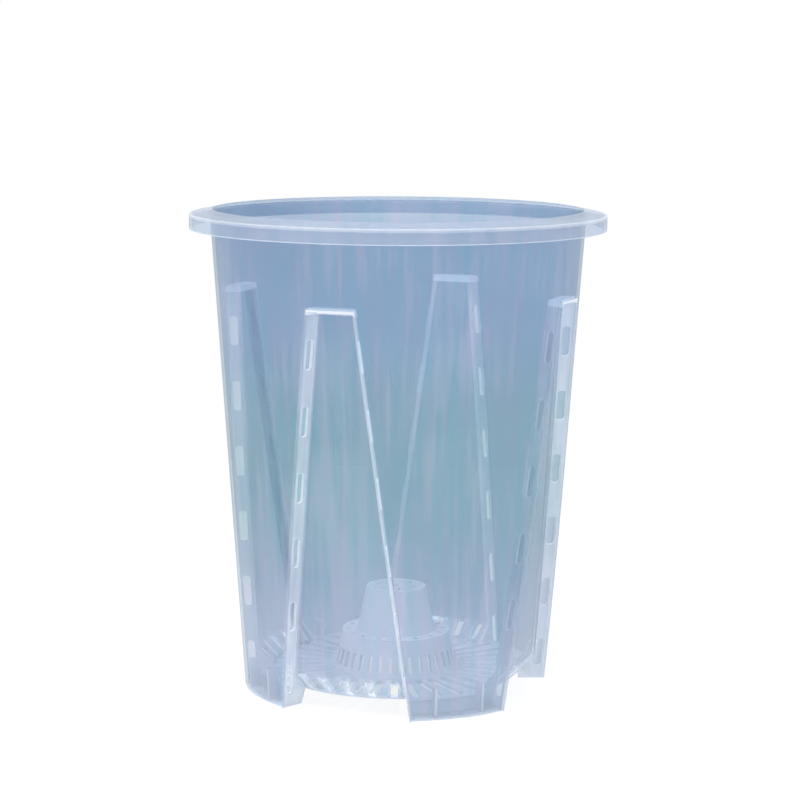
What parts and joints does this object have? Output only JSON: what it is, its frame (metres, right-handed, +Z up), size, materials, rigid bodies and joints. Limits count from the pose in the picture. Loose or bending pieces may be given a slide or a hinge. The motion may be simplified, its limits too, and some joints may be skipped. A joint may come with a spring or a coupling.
{
  "type": "slotted orchid pot",
  "caption": "Clear conical plant pot with a falling rim flange, tapered side recesses with slotted cheeks, hollow feet, a slotted floor and a stepped hollow centre cone.",
  "frame": {"origin": "centre of the pot at the plane its feet stand on", "axes": "+Z up along the pot's axis; +X, -X, +Y and -Y each look out through the middle of a recess"},
  "size_m": [0.15, 0.15, 0.175],
  "materials": {
    "clear_plastic": "clear polypropylene, glossy, faintly milky"
  },
  "bodies": {
    "root": {"rim_flange": "clear_plastic", "rim_skirt": "clear_plastic", "upper_wall": "clear_plastic", "floor": "clear_plastic", "cone_skirt": "clear_plastic", "cone_step": "clear_plastic", "cone_neck": "clear_plastic", "cone_cap": "clear_plastic", "recess_ledge_front": "clear_plastic", "recess_panel_front": "clear_plastic", "recess_cheek_a_front": "clear_plastic", "recess_cheek_b_front": "clear_plastic", "recess_ledge_right": "clear_plastic", "recess_panel_right": "clear_plastic", "recess_cheek_a_right": "clear_plastic", "recess_cheek_b_right": "clear_plastic", "recess_ledge_back": "clear_plastic", "recess_panel_back": "clear_plastic", "recess_cheek_a_back": "clear_plastic", "recess_cheek_b_back": "clear_plastic", "recess_ledge_left": "clear_plastic", "recess_panel_left": "clear_plastic", "recess_cheek_a_left": "clear_plastic", "recess_cheek_b_left": "clear_plastic", "wall_stave_front_right": "clear_plastic", "foot_riser_front_right": "clear_plastic", "foot_sole_front_right": "clear_plastic", "foot_ribs_front_right": "clear_plastic", "wall_stave_back_right": "clear_plastic", "foot_riser_back_right": "clear_plastic", "foot_sole_back_right": "clear_plastic", "foot_ribs_back_right": "clear_plastic", "wall_stave_back_left": "clear_plastic", "foot_riser_back_left": "clear_plastic", "foot_sole_back_left": "clear_plastic", "foot_ribs_back_left": "clear_plastic", "wall_stave_front_left": "clear_plastic", "foot_riser_front_left": "clear_plastic", "foot_sole_front_left": "clear_plastic", "foot_ribs_front_left": "clear_plastic"}
  },
  "joints": []
}
